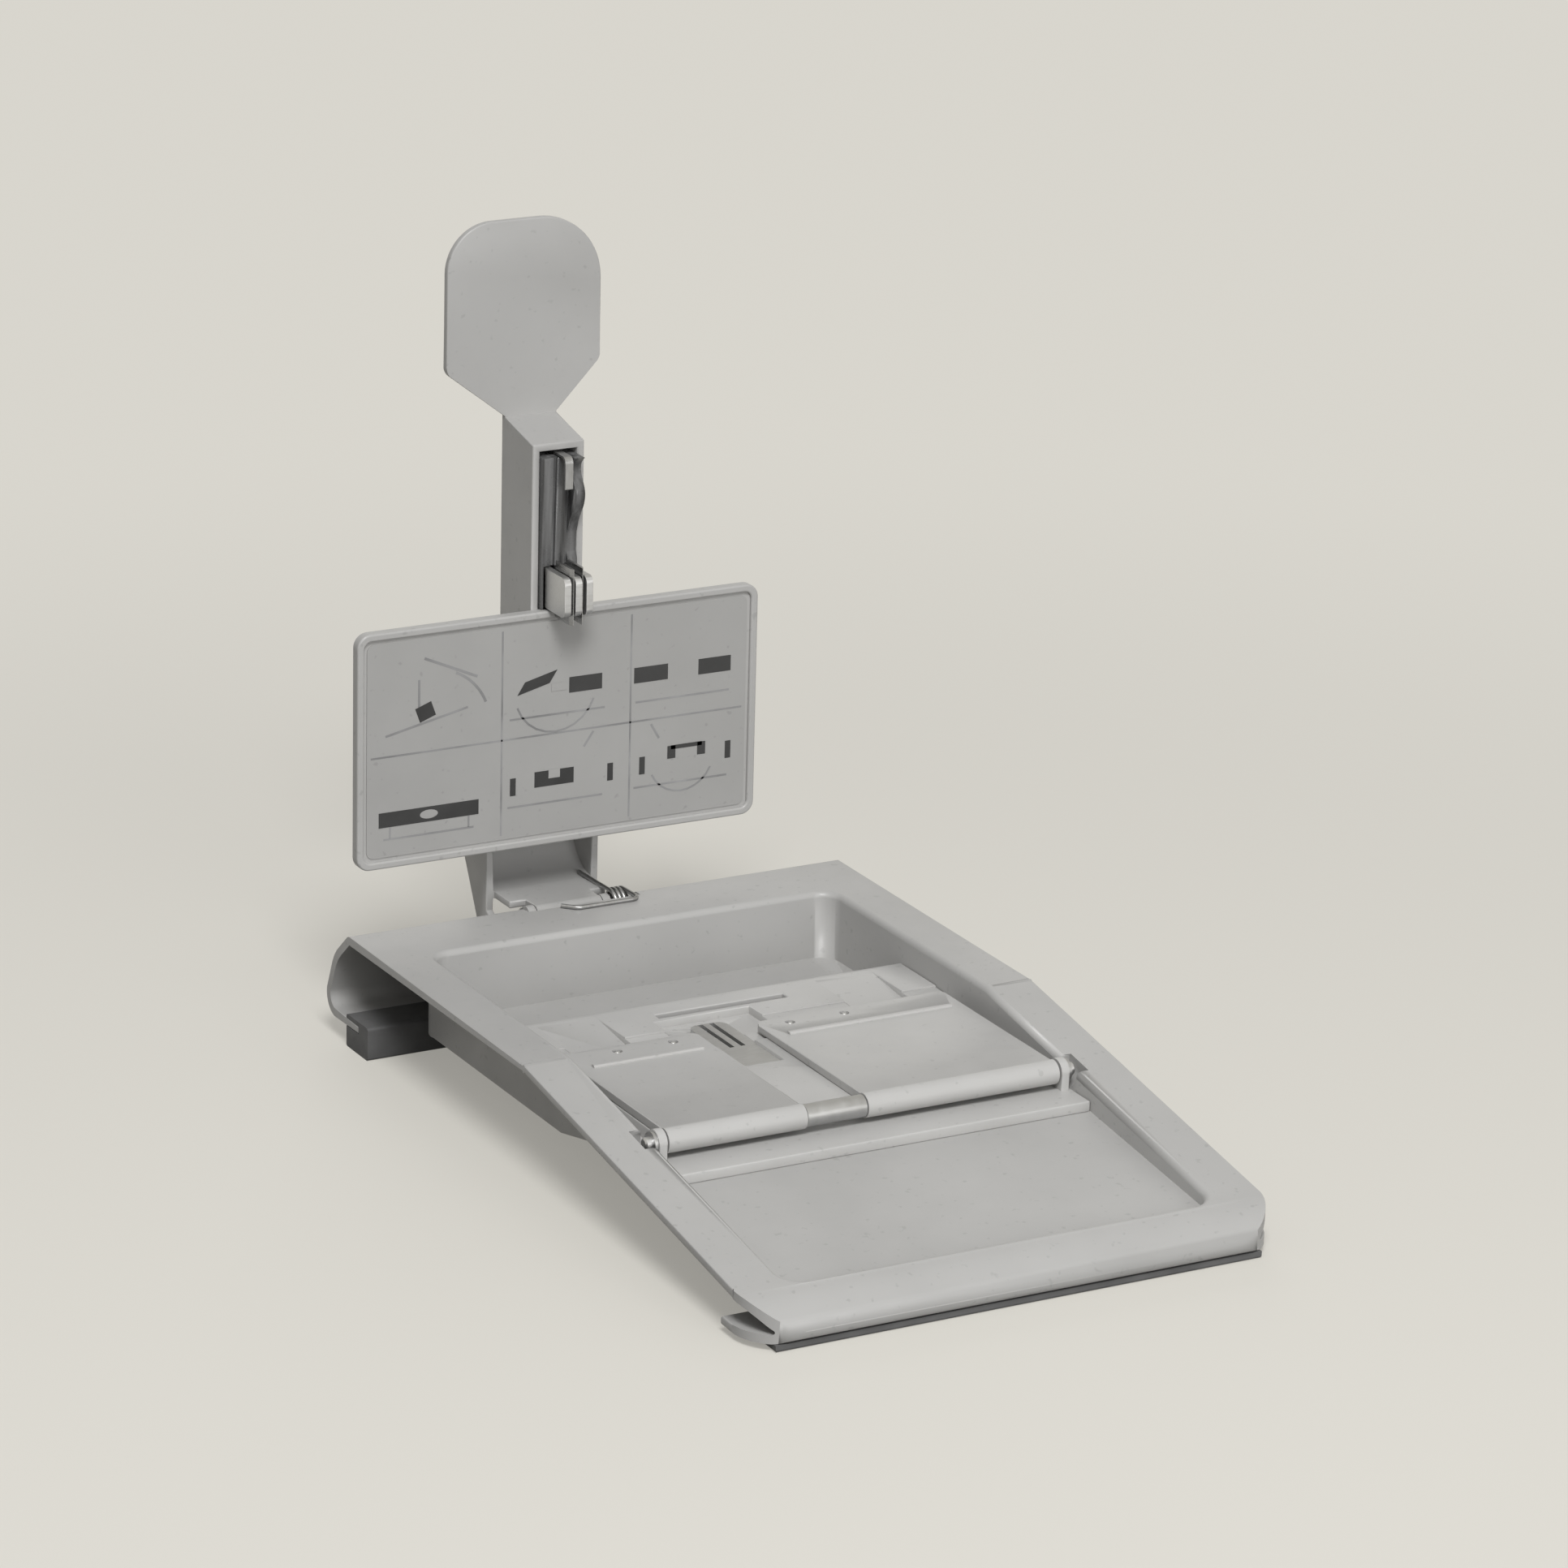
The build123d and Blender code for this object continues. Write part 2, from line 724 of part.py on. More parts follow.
# --------------------------------------------------------------------- hinge
def hinge_bracket():
    """Plate under the deck with two ears that reach back to the pin in the notch."""
    under = deck_height - base_sheet
    near, far = bracket_setback
    plate = block(
        cut_line_x - bracket_half_width,
        cut_line_x + bracket_half_width,
        rear_edge_y - far,
        rear_edge_y - near,
        under - ear_sheet,
        under,
    )
    bracket = fillet(plate.edges().filter_by(Axis.Z), ear_sheet)
    outline = [
        (pivot_y - ear_depth, under - ear_sheet),
        (pivot_y - ear_depth, under),
        (pivot_y, under),
        (pivot_y, pivot_z - knuckle_radius),
    ]
    for side in (-1, 1):
        x0, x1 = sorted(
            (cut_line_x + side * ear_inner, cut_line_x + side * (ear_inner + ear_sheet))
        )
        bracket = bracket + prism_x(outline, x0, x1)
        bracket = bracket + rod_x(x0, x1, pivot_y, pivot_z, knuckle_radius)
    reach = ear_inner + 2 * ear_sheet
    bore = rod_x(cut_line_x - reach, cut_line_x + reach, pivot_y, pivot_z, pin_radius + pin_clearance)
    return bracket - bore


def spring_start_x():
    """Middle of the spring's first turn, beside the right ear."""
    return cut_line_x + ear_inner + ear_sheet + side_gap + spring_wire / 2


def spring_end_x():
    """Inner face of the pin's head, beside the spring's last turn."""
    return spring_start_x() + spring_turns * spring_pitch + spring_wire / 2 + side_gap


def hinge_pin():
    """Headed pin through the spring, both ears and the arm's knuckle."""
    tail = cut_line_x - ear_inner - ear_sheet - 1.5 * clip_sheet
    end = spring_end_x()
    pin = rod_x(tail, end, pivot_y, pivot_z, pin_radius)
    head = rod_x(end, end + pin_head, pivot_y, pivot_z, pin_head_radius)
    head = fillet(head.edges().filter_by(GeomType.CIRCLE).sort_by(Axis.X)[-1], pin_head / 2)
    return pin + head


def hinge_pin_clip():
    """Snap ring on the pin's plain end."""
    outer = cut_line_x - ear_inner - ear_sheet
    return snap_ring(outer - clip_sheet, outer, pivot_y, pivot_z, pin_radius, pin_head_radius, 90)


def arm_return_spring():
    """Torsion spring on the pin: one leg on the arm's tongue, one along the deck."""
    top = deck_height + spring_deck_gap + spring_wire / 2
    frame = Plane(origin=(spring_start_x(), pivot_y, pivot_z), x_dir=(0, 0, 1), z_dir=(1, 0, 0))
    helix = frame * Helix(spring_pitch, spring_turns * spring_pitch, top - pivot_z)
    foot = helix @ 0 - (helix % 0) * spring_rear_leg
    corner = helix @ 1 + (helix % 1) * spring_front_leg
    side = corner - Vector(spring_side_leg, 0, 0)
    tip = side + Vector(-spring_tip[0], spring_tip[1], 0)
    leg = FilletPolyline(helix @ 1, corner, side, tip, radius=spring_bend_radius)
    wire = Wire([Line(foot, helix @ 0).edge(), helix.edge(), *leg.edges()])
    return sweep(Plane(foot, z_dir=helix % 0) * Circle(spring_wire / 2), path=wire)


# ----------------------------------------------------------------- swing arm
def arm_front_outline(inset, bottom):
    """Front view of the stem and root, drawn in by `inset` on each side."""
    root = root_width / 2 - inset
    stem = stem_width / 2 - inset
    right = [(root, bottom), (root, root_top), (stem, taper_top), (stem, stem_top)]
    left = [(-x, z) for x, z in reversed(right)]
    return [(cut_line_x + x, z) for x, z in right + left]


def arm_side_outline():
    """Side view of the stem's walls and the root's cheeks."""
    hip_low, hip_high = hip_heights
    toe_low, toe_high = toe_heights
    root_front_y = rear_edge_y + root_front_behind
    toe_y = rear_edge_y + toe_behind
    return [
        (stem_front_y, front_step_top),
        (stem_front_y, wall_top_front),
        (arm_back_y, stem_top),
        (arm_back_y, taper_top),
        (hip_y, hip_high),
        (hip_y, hip_low),
        (rear_edge_y + heel_behind, root_bottom),
        (toe_y, root_bottom),
        (toe_y, toe_low),
        (root_front_y, toe_high),
        (root_front_y, root_front_top),
    ]


def arm_web():
    """Back of the channel, bent forward at its foot into the tongue that ends at the pin."""
    half_sheet = arm_sheet / 2
    tongue_middle = knuckle_radius - half_sheet
    line = [
        (arm_back_y - half_sheet, stem_top),
        (arm_back_y - half_sheet, taper_top),
        (hip_y - half_sheet, hip_heights[1]),
        (hip_y - half_sheet, tongue_middle),
        (pivot_y, tongue_middle),
    ]
    radii = [web_knee_radius, web_knee_radius, web_bend_radius]
    start_x = cut_line_x - root_width / 2
    middle = Plane.YZ.offset(start_x) * FilletPolyline(*line, radius=radii)
    sheet = offset(middle, amount=half_sheet, side=Side.BOTH, kind=Kind.INTERSECTION)
    web = extrude(make_face(sheet), root_width, dir=(1, 0, 0))
    web = web & prism_y(arm_front_outline(0, root_bottom), pivot_y - overcut, hip_y + overcut)
    tongue_half = ear_inner - side_gap
    step_y = pivot_y + tongue_step
    root_front_y = rear_edge_y + root_front_behind
    low = tongue_middle - arm_sheet
    high = knuckle_radius + overcut
    for side in (-1, 1):
        far = cut_line_x + side * root_width
        wall = cut_line_x + side * (root_width / 2 - arm_sheet - side_gap)
        narrow = cut_line_x + side * tongue_half
        web = web - block(wall, far, pivot_y - overcut, root_front_y, low, high)
        web = web - block(narrow, far, pivot_y - overcut, step_y, low, high)
    return web


def arm_roof():
    """Sheet that closes the channel's upper end, level with the tops of its walls."""
    outline = [
        (arm_back_y, stem_top),
        (stem_front_y, wall_top_front),
        (stem_front_y, wall_top_front - arm_sheet),
        (arm_back_y, stem_top - arm_sheet),
    ]
    return prism_x(outline, cut_line_x - stem_width / 2, cut_line_x + stem_width / 2)


def paddle():
    """Flat finger paddle in the plane of the web."""
    stem = stem_width / 2
    left = cut_line_x + paddle_offset - paddle_width / 2
    right = cut_line_x + paddle_offset + paddle_width / 2
    outline = [
        (cut_line_x - stem, wall_top_front),
        (cut_line_x - stem, stem_top),
        (left, paddle_shoulder),
        (left, paddle_top),
        (right, paddle_top),
        (right, paddle_shoulder),
        (cut_line_x + stem, stem_top),
        (cut_line_x + stem, wall_top_front),
    ]
    blade = prism_y(outline, arm_back_y - arm_sheet, arm_back_y)
    for place, radius in ((0, paddle_radii[0]), (-1, paddle_radii[1])):
        top = blade.edges().filter_by(Axis.Y).group_by(Axis.Z)[-1]
        blade = fillet(top.sort_by(Axis.X)[place], radius)
    upright = blade.edges().filter_by(Axis.Y)
    shoulders = [e for e in upright if abs(e.center().Z - paddle_shoulder) < 0.01]
    return fillet(shoulders, shoulder_radius)


def swing_arm():
    """U channel with weld flanges, widened root, hinge tongue and paddle."""
    walls = prism_y(arm_front_outline(0, root_bottom), rear_edge_y, hip_y)
    walls = walls & prism_x(arm_side_outline(), -base_width, base_width)
    inside = arm_front_outline(arm_sheet, root_bottom - overcut)
    walls = walls - prism_y(inside, rear_edge_y - overcut, hip_y + overcut)
    arm = walls + arm_web() + arm_roof() + paddle()
    for side in (-1, 1):
        edge = cut_line_x + side * (stem_width / 2 - arm_sheet)
        tip = cut_line_x + side * (stem_width / 2 + flange_reach)
        arm = arm + block(
            edge, tip, stem_front_y, stem_front_y + arm_sheet, flange_bottom, flange_bottom + flange_height
        )
    knuckle_half = ear_inner - side_gap
    knuckle_x0 = cut_line_x - knuckle_half
    knuckle_x1 = cut_line_x + knuckle_half
    arm = arm + rod_x(knuckle_x0, knuckle_x1, pivot_y, 0, knuckle_radius)
    bore_radius = pin_radius + pin_clearance
    arm = arm - rod_x(knuckle_x0 - overcut, knuckle_x1 + overcut, pivot_y, 0, bore_radius)
    hole_radius = screw_radius + screw_clearance
    for z in carrier_screw_heights():
        arm = arm - rod_y(
            cut_line_x, z, arm_back_y - 2 * arm_sheet, arm_back_y + overcut, hole_radius
        )
    return arm


def lid_outline(inset, y0, y1):
    """Rounded rectangle of the lid, drawn in by `inset` all round."""
    half = lid_width / 2 - inset
    body = block(
        cut_line_x - half, cut_line_x + half, y0, y1, lid_bottom + inset, lid_bottom + lid_height - inset
    )
    return fillet(body.edges().filter_by(Axis.Y), max(lid_corner_radius - inset, arm_sheet))


def lid_plate():
    """Plate on the stem's flanges with a raised border round its front."""
    back = stem_front_y
    face = back - lid_sheet
    plate = lid_outline(0, face, back)
    border = lid_outline(0, face - lid_border_rise, face) - lid_outline(
        lid_border, face - lid_border_rise - overcut, face + overcut
    )
    outer = border.faces().sort_by(Axis.Y)[0].edges()
    border = fillet(outer, lid_border_rise * 0.6)
    return plate + border


def instruction_label():
    """Thin label inside the lid's border."""
    face = stem_front_y - lid_sheet
    return lid_outline(lid_border + label_margin, face - label_thickness, face)


# -------------------------------------------------------------------- cutter
def carrier_screw_heights():
    """Two screws through the web hold the blade carrier."""
    span = carrier_top - cutter_top
    return [cutter_top + span * 0.3, cutter_top + span * 0.75]


def pad_cavity():
    """Guide in the carrier for the pad and its travel."""
    half = cutter_width / 2 + pad_clearance
    return block(
        cut_line_x - half,
        cut_line_x + half,
        carrier_face_y - overcut,
        pad_back_y + pad_travel + cavity_room,
        cutter_arm - cutter_height / 2 - pad_clearance,
        cutter_arm + cutter_height / 2 + pad_clearance,
    )


def leaf_path():
    """Middle line of the leaf spring in side view, from the pad to its hooked end."""
    back = pad_back_y + leaf_sheet / 2
    front = stem_front_y - carrier_swell - leaf_stand_off
    low = cutter_arm + tang_height / 2 + pad_clearance + leaf_slot_clearance
    over = carrier_top + leaf_rise + leaf_sheet / 2
    return [(back, low), (back, over), (front, over), (front, over - leaf_hook)]


def pad_spring():
    """Leaf spring behind the pad that passes over the carrier and hooks down in front."""
    half = leaf_width / 2
    line = Plane.YZ.offset(cut_line_x - half) * FilletPolyline(*leaf_path(), radius=leaf_bend_radius)
    strip = offset(line, amount=leaf_sheet / 2, side=Side.BOTH, kind=Kind.INTERSECTION)
    return extrude(make_face(strip), leaf_width, dir=(1, 0, 0))


def leaf_room():
    """Slot in the carrier for the leaf spring and for the bending of its lower end."""
    (back, low), (_, over), _, _ = leaf_path()
    half = leaf_width / 2 + leaf_slot_clearance
    play = leaf_sheet / 2 + leaf_slot_clearance
    outline = [
        (back - play, low - leaf_slot_clearance),
        (back - play, carrier_top - 2 * leaf_bend_radius),
        (back - play - leaf_bend_radius, carrier_top),
        (back - play - leaf_bend_radius, over),
        (back + play, over),
        (back + play + pad_travel, low - leaf_slot_clearance),
    ]
    return prism_x(outline, cut_line_x - half, cut_line_x + half)


def carrier_slice(front, x0, width):
    """Slice of the carrier behind a front line that runs up to its top."""
    back = arm_back_y - arm_sheet
    low = lid_top + pad_clearance
    start, end = front @ 0, front @ 1
    rest = Polyline(end, (0, back, end.Z), (0, back, low), (0, start.Y, low), start)
    return extrude(Pos(x0, 0, 0) * make_face([front, rest]), width, dir=(1, 0, 0))


def straight_front(inset):
    """Front line of a plain rib, or of the grooves beside it, which are `inset` deep."""
    flat_top = cutter_top + carrier_front + pad_clearance
    waist = stem_front_y - carrier_waist
    return Line((0, carrier_face_y + inset, flat_top), (0, waist + inset, carrier_top))


def swelling_front():
    """Front line of the rib that swells below the top and again at the top."""
    plain = straight_front(0)
    waist_low, waist_high = waist_heights
    swell = stem_front_y - carrier_swell
    waist = stem_front_y - carrier_waist
    return Spline(
        plain @ 0,
        (0, waist, waist_low),
        (0, swell, swell_height),
        (0, waist, waist_high),
        (0, swell, carrier_top),
    )


def blade_carrier():
    """Moulded block in the channel with upright ribs, guiding the pad and the blades."""
    half = stem_width / 2 - arm_sheet - carrier_side_gap
    left = cut_line_x - half
    back = arm_back_y - arm_sheet
    body = carrier_slice(straight_front(rib_groove), left, 2 * half)
    rib_each = (2 * half - (rib_count - 1) * rib_groove) / rib_count
    for index in range(rib_count):
        front = swelling_front() if index == rib_count - 1 else straight_front(0)
        body = body + carrier_slice(front, left + index * (rib_each + rib_groove), rib_each)
    foot_front = stem_front_y + carrier_side_gap
    foot_bottom = lid_top - carrier_foot_depth
    foot_top = lid_top + carrier_foot_depth
    body = body + block(left, cut_line_x + half, foot_front, back, foot_bottom, foot_top)
    body = body - pad_cavity() - leaf_room()
    for side in (-1, 1):
        body = body - blade_tang(side, blade_gap / 4)
    for z in carrier_screw_heights():
        tip = arm_back_y - carrier_screw_length - screw_clearance
        body = body - rod_y(cut_line_x, z, tip, arm_back_y, screw_radius + seat_clearance)
    return body


def blade_tang(side, grow):
    """The part of a blade that runs through the pad into the carrier."""
    x = cut_line_x + side * blade_offset
    half = blade_sheet / 2 + grow
    return block(
        x - half,
        x + half,
        lid_face_y - lid_border_rise - lid_sheet,
        pad_back_y + tang_length - pad_guide_depth + grow,
        cutter_arm - tang_height / 2 - grow,
        cutter_arm + tang_height / 2 + grow,
    )


def blade(side):
    """Thin blade, as tall as the film in front of the lid and bevelled to an edge."""
    x = cut_line_x + side * blade_offset
    edge_y = pad_face_y + blade_recess
    rear_y = lid_face_y - lid_border_rise - pad_clearance
    low = cutter_arm - blade_height / 2
    high = cutter_arm + blade_height / 2
    body = block(x - blade_sheet / 2, x + blade_sheet / 2, edge_y, rear_y, low, high)
    body = body + blade_tang(side, 0)
    outer = x + side * blade_sheet / 2
    inner = x - side * blade_sheet / 4
    bevel = make_face(
        Polyline((outer, edge_y, low), (inner, edge_y, low), (outer, edge_y + blade_bevel, low), close=True)
    )
    return body - extrude(bevel, blade_height, dir=(0, 0, 1))


def pressure_pad():
    """Three plates with two blade slits, joined by bars above and below the tangs."""
    half = cutter_width / 2
    low = cutter_arm - cutter_height / 2
    high = cutter_arm + cutter_height / 2
    pad = block(cut_line_x - half, cut_line_x + half, pad_face_y, pad_back_y, low, high)
    pad = fillet(pad.edges().filter_by(Axis.X).sort_by(Axis.Y)[:2], pad_nose_radius)
    for side in (-1, 1):
        x = cut_line_x + side * blade_offset
        x0, x1 = x - blade_gap / 2, x + blade_gap / 2
        yoke_y = pad_back_y - yoke_depth
        pad = pad - block(x0, x1, pad_face_y - overcut, yoke_y, low - overcut, high + overcut)
        bar_low, bar_high = low + yoke_rise, high - yoke_rise
        pad = pad - block(x0, x1, pad_face_y, pad_back_y + overcut, bar_low, bar_high)
    return pad


# -------------------------------------------------------------------- screws
def screw(length):
    """Slotted pan-head screw pointing up, with the underside of its head at the origin."""
    head = Pos(0, 0, -screw_head / 2) * Cylinder(screw_head_radius, screw_head)
    head = fillet(head.edges().filter_by(GeomType.CIRCLE).sort_by(Axis.Z)[0], screw_head / 2)
    shank = Pos(0, 0, length / 2) * Cylinder(screw_radius, length)
    body = head + shank
    body = chamfer(body.edges().filter_by(GeomType.CIRCLE).sort_by(Axis.Z)[-1], screw_radius / 4)
    slot = Pos(0, 0, -screw_head) * Box(
        3 * screw_head_radius, screw_slot_width, 2 * screw_slot_depth
    )
    return body - slot


def bed_screws():
    """Four screws up through the recess floor."""
    screws = []
    for x, y, floor in bed_screw_places():
        screws.append(Pos(x, y, floor - base_sheet) * screw(bed_screw_length))
    return Compound(children=screws)


def anvil_screw():
    """One screw up through the bed into the anvil."""
    return Pos(cut_line_x, anvil_screw_y(), bed_top - bed_thickness) * screw(anvil_screw_length)


def carrier_screws():
    """Two screws forward through the web into the carrier."""
    screws = []
    for z in carrier_screw_heights():
        place = Pos(cut_line_x, arm_back_y, pivot_z + z) * Rot(90, 0, 0)
        screws.append(place * screw(carrier_screw_length))
    return Compound(children=screws)


def splicer():
    """Every node name with its solid, the arm's pieces lifted to the hinge pin."""
    left_inner = cut_line_x - flap_inner
    right_inner = cut_line_x + flap_inner
    pieces = {
        "base_shell": base_shell(),
        "front_foot_strip": front_foot_strip(),
        "rear_foot_strip": rear_foot_strip(),
        "film_bed": film_bed(),
        "bed_screws": bed_screws(),
        "cutting_anvil": cutting_anvil(),
        "anvil_screw": anvil_screw(),
        "registration_pins": registration_pins(),
        "flap_axle": flap_axle(),
        "axle_clips": axle_clips(),
        "axle_spacer": axle_spacer(),
        "film_flap_left": film_flap(-flap_outer, left_inner),
        "film_flap_right": film_flap(right_inner, flap_outer),
        "hinge_bracket": hinge_bracket(),
        "hinge_pin": hinge_pin(),
        "hinge_pin_clip": hinge_pin_clip(),
        "arm_return_spring": arm_return_spring(),
        "carrier_screws": carrier_screws(),
    }
    arm_pieces = {
        "swing_arm": swing_arm(),
        "lid_plate": lid_plate(),
        "instruction_label": instruction_label(),
        "blade_carrier": blade_carrier(),
        "blade_left": blade(-1),
        "blade_right": blade(1),
        "pressure_pad": pressure_pad(),
        "pad_spring": pad_spring(),
    }
    for name, piece in arm_pieces.items():
        pieces[name] = Pos(0, 0, pivot_z) * piece
    return pieces


os.makedirs("parts", exist_ok=True)
for name, shape in splicer().items():
    shape.label = name
    export_step(shape, f"parts/{name}.step")
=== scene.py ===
import json
import math

import bpy
import bmesh
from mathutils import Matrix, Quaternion, Vector


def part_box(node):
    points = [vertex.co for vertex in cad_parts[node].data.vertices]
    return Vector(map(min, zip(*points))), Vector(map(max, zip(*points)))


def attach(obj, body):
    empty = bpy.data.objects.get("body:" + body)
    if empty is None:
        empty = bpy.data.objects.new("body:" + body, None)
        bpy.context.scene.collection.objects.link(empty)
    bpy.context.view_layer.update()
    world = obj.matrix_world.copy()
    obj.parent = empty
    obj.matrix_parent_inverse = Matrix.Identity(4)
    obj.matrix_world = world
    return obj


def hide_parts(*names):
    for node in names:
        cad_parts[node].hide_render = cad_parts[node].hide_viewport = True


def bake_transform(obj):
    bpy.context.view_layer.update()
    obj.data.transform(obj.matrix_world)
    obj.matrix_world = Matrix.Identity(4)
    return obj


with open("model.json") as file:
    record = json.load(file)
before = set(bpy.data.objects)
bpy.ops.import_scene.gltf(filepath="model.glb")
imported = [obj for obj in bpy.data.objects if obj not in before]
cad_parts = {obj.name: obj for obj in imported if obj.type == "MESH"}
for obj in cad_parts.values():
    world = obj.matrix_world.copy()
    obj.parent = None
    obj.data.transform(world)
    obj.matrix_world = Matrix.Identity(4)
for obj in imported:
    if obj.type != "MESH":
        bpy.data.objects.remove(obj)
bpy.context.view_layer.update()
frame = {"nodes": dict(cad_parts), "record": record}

MM = 0.001

# ------------------------------------------------------------------- camera
# The camera's direction and distance, with a long lens as in a product photo.
AZIMUTH = -29.2
ELEVATION = 18.6
ROLL = 1.5
DISTANCE = 861.5 * MM
AIM = Vector((-1.4, -8.55, 51.2)) * MM
SENSOR = 36.0
PHOTO_WIDTH = 1932
FOCAL_PIXELS = 8008
CENTRE_OFFSET_PIXELS = (21, 9)
CLIP_START = 50 * MM


def make_camera():
    """A long lens at the photographed angle, framed on the whole splicer."""
    azimuth = math.radians(AZIMUTH)
    elevation = math.radians(ELEVATION)
    back = Vector(
        (
            math.sin(azimuth) * math.cos(elevation),
            -math.cos(azimuth) * math.cos(elevation),
            math.sin(elevation),
        )
    )
    data = bpy.data.cameras.new("camera")
    data.sensor_width = SENSOR
    data.lens = SENSOR * FOCAL_PIXELS / PHOTO_WIDTH
    data.shift_x = -CENTRE_OFFSET_PIXELS[0] / PHOTO_WIDTH
    data.shift_y = CENTRE_OFFSET_PIXELS[1] / PHOTO_WIDTH
    data.clip_start = CLIP_START
    camera = bpy.data.objects.new("camera", data)
    bpy.context.collection.objects.link(camera)
    camera.rotation_mode = "QUATERNION"
    level = back.to_track_quat("Z", "Y")
    camera.rotation_quaternion = Quaternion(back, math.radians(ROLL)) @ level
    camera.location = AIM + back * DISTANCE
    bpy.context.scene.camera = camera


# ---------------------------------------------------------------- materials
def new_material(name):
    """A new material with its node tree and its shader node."""
    material = bpy.data.materials.new(name)
    material.use_nodes = True
    tree = material.node_tree
    shader = tree.nodes["Principled BSDF"]
    return material, tree, shader


def noise(tree, scale, detail=4.0, stretch=(1, 1, 1)):
    """Noise in object space; `scale` is in features per metre."""
    coords = tree.nodes.new("ShaderNodeTexCoord")
    mapping = tree.nodes.new("ShaderNodeMapping")
    mapping.inputs["Scale"].default_value = stretch
    texture = tree.nodes.new("ShaderNodeTexNoise")
    texture.inputs["Scale"].default_value = scale
    texture.inputs["Detail"].default_value = detail
    tree.links.new(coords.outputs["Object"], mapping.inputs["Vector"])
    tree.links.new(mapping.outputs["Vector"], texture.inputs["Vector"])
    return texture.outputs["Fac"]


def ramp(tree, value, low, high, colors):
    """Colour ramp between two positions."""
    node = tree.nodes.new("ShaderNodeValToRGB")
    node.color_ramp.elements[0].position = low
    node.color_ramp.elements[1].position = high
    node.color_ramp.elements[0].color = (*colors[0], 1)
    node.color_ramp.elements[1].color = (*colors[1], 1)
    tree.links.new(value, node.inputs["Fac"])
    return node.outputs["Color"]


def spread(tree, value, low, high):
    """Maps noise, which stays mostly between 0.3 and 0.7, to low..high."""
    node = tree.nodes.new("ShaderNodeMapRange")
    node.inputs["From Min"].default_value = 0.3
    node.inputs["From Max"].default_value = 0.7
    node.inputs["To Min"].default_value = low
    node.inputs["To Max"].default_value = high
    tree.links.new(value, node.inputs["Value"])
    return node.outputs["Result"]


def bump(tree, shader, height, strength, distance):
    """Adds surface relief to the shader."""
    node = tree.nodes.new("ShaderNodeBump")
    node.inputs["Strength"].default_value = strength
    node.inputs["Distance"].default_value = distance
    tree.links.new(height, node.inputs["Height"])
    tree.links.new(node.outputs["Normal"], shader.inputs["Normal"])


SPECK_THRESHOLD = (0.68, 0.76)
SPECK_STRENGTH = 0.35


def specks(tree, color, fine, tone):
    """Darkens a colour in small sparse specks, as in old stoved enamel."""
    mask = tree.nodes.new("ShaderNodeMapRange")
    mask.inputs["From Min"].default_value = SPECK_THRESHOLD[0]
    mask.inputs["From Max"].default_value = SPECK_THRESHOLD[1]
    mask.inputs["To Min"].default_value = 0.0
    mask.inputs["To Max"].default_value = SPECK_STRENGTH
    tree.links.new(noise(tree, fine, 1), mask.inputs["Value"])
    mix = tree.nodes.new("ShaderNodeMix")
    mix.data_type = "RGBA"
    tree.links.new(mask.outputs["Result"], mix.inputs["Factor"])
    tree.links.new(color, mix.inputs["A"])
    mix.inputs["B"].default_value = (*tone, 1)
    return mix.outputs["Result"]


def enamel(name, tone, tint, roughness):
    """Stoved enamel on sheet metal: faint mottling, specks and orange peel."""
    material, tree, shader = new_material(name)
    dark = tuple(tone * 0.95 * c for c in tint)
    light = tuple(tone * 1.05 * c for c in tint)
    patches = noise(tree, 45, 7)
    base = ramp(tree, patches, 0.32, 0.68, (dark, light))
    shade = tuple(tone * 0.6 * c for c in tint)
    tree.links.new(specks(tree, base, 900, shade), shader.inputs["Base Color"])
    tree.links.new(
        spread(tree, noise(tree, 240, 3), roughness - 0.05, roughness + 0.06),
        shader.inputs["Roughness"],
    )
    shader.inputs["Coat Weight"].default_value = 0.12
    shader.inputs["Coat Roughness"].default_value = 0.25
    bump(tree, shader, noise(tree, 1100, 2), 0.12, 0.03 * MM)
    return material


def steel(name, tone, roughness, stretch, scratch=0.2):
    """Bare steel with fine lines along one direction."""
    material, tree, shader = new_material(name)
    shader.inputs["Metallic"].default_value = 1.0
    lines = noise(tree, 500, 3, stretch)
    dark = (tone * 0.9,) * 3
    light = (tone, tone * 1.005, tone * 1.01)
    tree.links.new(ramp(tree, lines, 0.35, 0.65, (dark, light)), shader.inputs["Base Color"])
    tree.links.new(
        spread(tree, lines, roughness - 0.04, roughness + 0.06), shader.inputs["Roughness"]
    )
    bump(tree, shader, lines, scratch, 0.01 * MM)
    return material


def moulded(name, tone, roughness, grain, depth, tone_and_sheen_contrast=0.25, stretch=(1, 1, 1)):
    """Plastic or rubber with a fine moulded grain; `stretch` draws its tone patches out, and
    with a strong contrast they become painted sheen streaks.
    """
    material, tree, shader = new_material(name)
    # tone patches; drawn out and with a strong contrast they are painted highlight streaks
    patches = noise(tree, 150, 5, stretch)
    dark = (tone * (1 - tone_and_sheen_contrast),) * 3
    light = (tone * (1 + tone_and_sheen_contrast),) * 3
    tree.links.new(ramp(tree, patches, 0.3, 0.7, (dark, light)), shader.inputs["Base Color"])
    tree.links.new(
        spread(tree, noise(tree, 400, 3), roughness - 0.08, roughness + 0.08),
        shader.inputs["Roughness"],
    )
    bump(tree, shader, noise(tree, grain, 3), 0.35, depth)
    return material


